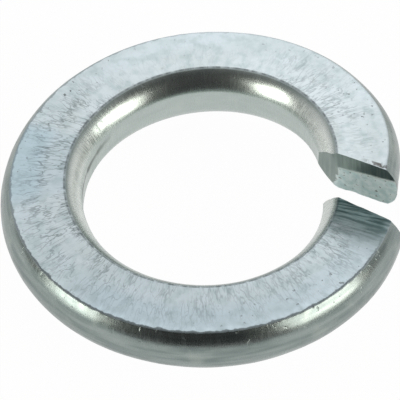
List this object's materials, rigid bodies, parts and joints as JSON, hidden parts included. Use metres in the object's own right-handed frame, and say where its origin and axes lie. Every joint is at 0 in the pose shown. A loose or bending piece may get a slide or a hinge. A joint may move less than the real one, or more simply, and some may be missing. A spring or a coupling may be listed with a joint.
{
  "type": "spring lock washer",
  "caption": "Split spring lock washer: a sheared turn of keystone-section steel wire with offset ends that bite under a bolt head or nut.",
  "frame": {"origin": "middle of the bore, on the bolt's axis, half way up the coil", "axes": "+Z along the bolt's axis towards the raised end's side, +X out through the cut"},
  "size_m": [0.0144, 0.0144, 0.0042],
  "materials": {
    "zinc_plated_steel": "satin blue-passivated zinc plating"
  },
  "bodies": {
    "root": {"lock_washer": "zinc_plated_steel"}
  },
  "joints": []
}
